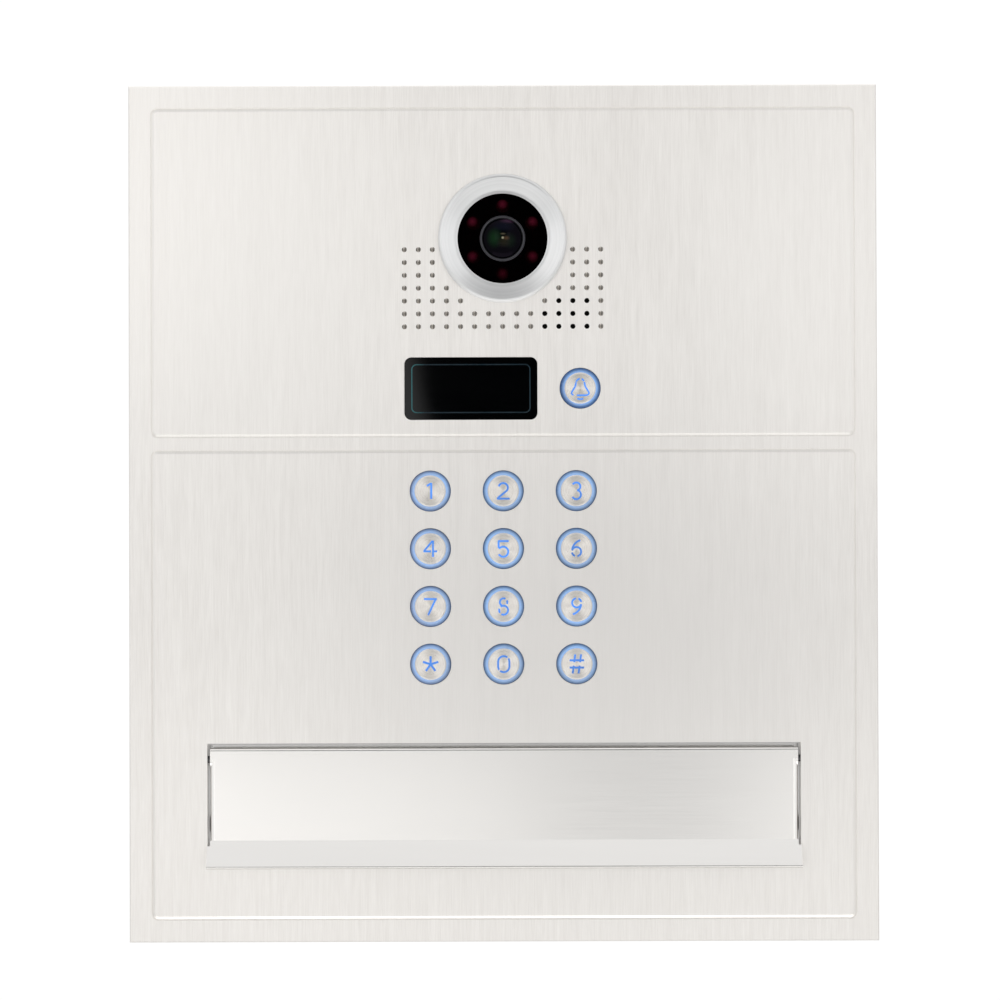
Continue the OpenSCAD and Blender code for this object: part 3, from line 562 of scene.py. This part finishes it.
tc = wn("ShaderNodeTexCoord")
sx = wn("ShaderNodeSeparateXYZ")
wt.links.new(tc.outputs["Generated"], sx.inputs[0])
DX, DY, DZ = sx.outputs
AX = wmath("ABSOLUTE", DX)
AZ = wmath("ABSOLUTE", DZ)
# the tent in front of the face: bright wings, dimmer middle, dark above and below the lens
wings = wramp(AX, 0.05, 0.42, WING[0], WING[1])
dark = wmath("MULTIPLY", wramp(AZ, 0.14, 0.36, 0.0, 1.0), wramp(AX, 0.22, 0.50, 1.0, 0.0))
dark = wmath("MULTIPLY", dark, wramp(DZ, 0.52, 0.68, 1.0, 0.0))
front = wmath("SUBTRACT", wings, wmath("MULTIPLY", dark, wramp(DZ, -0.2, 0.2, DARK[0], DARK[1])))
front = wmath("ADD", front, wramp(DZ, 0.78, 0.95, 0.0, 0.40))
# the black opening the lens looks through; its left side is a soft slanting edge
slant = wmath("ADD", DX, wmath("MULTIPLY", DZ, 0.16))
hole = wmath("MULTIPLY", wramp(slant, -0.0205, -0.0125, 0.0, 1.0), wramp(slant, 0.075, 0.10, 1.0, 0.0))
hole = wmath("MULTIPLY", hole, wmath("MULTIPLY", wramp(DZ, 0.006, 0.020, 0.0, 1.0), wramp(DZ, 0.108, 0.125, 1.0, 0.0)))
front = wmath("MULTIPLY", front, wmath("SUBTRACT", 1.0, wmath("MULTIPLY", hole, 0.995)))
side = wmath("ADD", wmath("MULTIPLY", wramp(DY, -0.62, -0.20, 0.0, 1.0), wramp(DZ, 0.6, 0.95, SIDE, 1.05)), wmath("MULTIPLY", front, wramp(DY, -0.62, -0.20, 1.0, 0.0)))
allw = wmath("ADD", wmath("MULTIPLY", side, wramp(DY, 0.25, 0.60, 1.0, 0.0)), wramp(DY, 0.25, 0.60, 0.0, 1.03))
comb = wn("ShaderNodeCombineColor")
wt.links.new(allw, comb.inputs[0])
wt.links.new(allw, comb.inputs[1])
wt.links.new(allw, comb.inputs[2])
wt.links.new(comb.outputs[0], bg.inputs["Color"])
bg.inputs["Strength"].default_value = 1.0

area("softbox_left", (-0.47, -1.2, 0.42), (-0.08, 0, 0.08), (0.40, 0.70), 0.80, (1.0, 0.985, 0.96))
area("softbox_left_low", (-0.42, -1.2, -0.20), (-0.08, 0, -0.10), (0.30, 0.34), 0.08, (1.0, 0.985, 0.96))
area("softbox_right", (0.52, -1.2, 0.36), (0.08, 0, 0.06), (0.30, 0.70), 0.60, (1.0, 0.985, 0.965))
area("softbox_right_low", (0.48, -1.2, -0.24), (0.08, 0, -0.10), (0.24, 0.30), 0.06, (1.0, 0.985, 0.965))
area("card_low", (0.05, -1.2, -0.46), (0, 0, -0.14), (1.2, 0.18), 0.16, (1.0, 0.985, 0.965))
area("bounce_card", (0.0, -0.40, -0.70), (0.0, -0.06, -0.10), (1.2, 0.34), 1.32, (1.0, 0.985, 0.965))
area("flap_card_left", (-0.23, -1.2, -0.232), (-0.06, 0, -0.12), (0.50, 0.13), 0.105, (1.0, 0.985, 0.965))
area("flap_card_right", (0.33, -1.2, -0.232), (0.10, 0, -0.12), (0.26, 0.13), 0.055, (1.0, 0.985, 0.965))

floor_me = bpy.data.meshes.new("floor")
bm = bmesh.new()
bmesh.ops.create_grid(bm, x_segments=4, y_segments=4, size=4.0)
bm.to_mesh(floor_me)
bm.free()
floor = bpy.data.objects.new("floor", floor_me)
floor.location = (0, 0, -0.75)
scene.collection.objects.link(floor)
fm = moulded("floor_pale", (0.86, 0.86, 0.85), (0.82, 0.82, 0.81), (0.6, 0.8), 60.0, 0.02)
floor_me.materials.append(fm.m)

cam_d = bpy.data.cameras.new("camera")
cam = bpy.data.objects.new("camera", cam_d)
scene.collection.objects.link(cam)
DIST = 1.5
ROLL = math.radians(-0.17)
cam_d.sensor_width = 36.0
cam_d.lens = 36.0 * DIST / 0.42735
cam_d.clip_start, cam_d.clip_end = 0.05, 50.0
LIFT = math.radians(0.6)
aim = Vector((-0.0014, -0.003, 0.0055))
cam.location = aim + DIST * Vector((0, -math.cos(LIFT), -math.sin(LIFT)))
cam.rotation_euler = (Matrix.Rotation(math.radians(90) + LIFT, 3, "X") @ Matrix.Rotation(ROLL, 3, "Z")).to_euler()
scene.camera = cam

scene.view_settings.view_transform = "Standard"
scene.view_settings.look = "None"
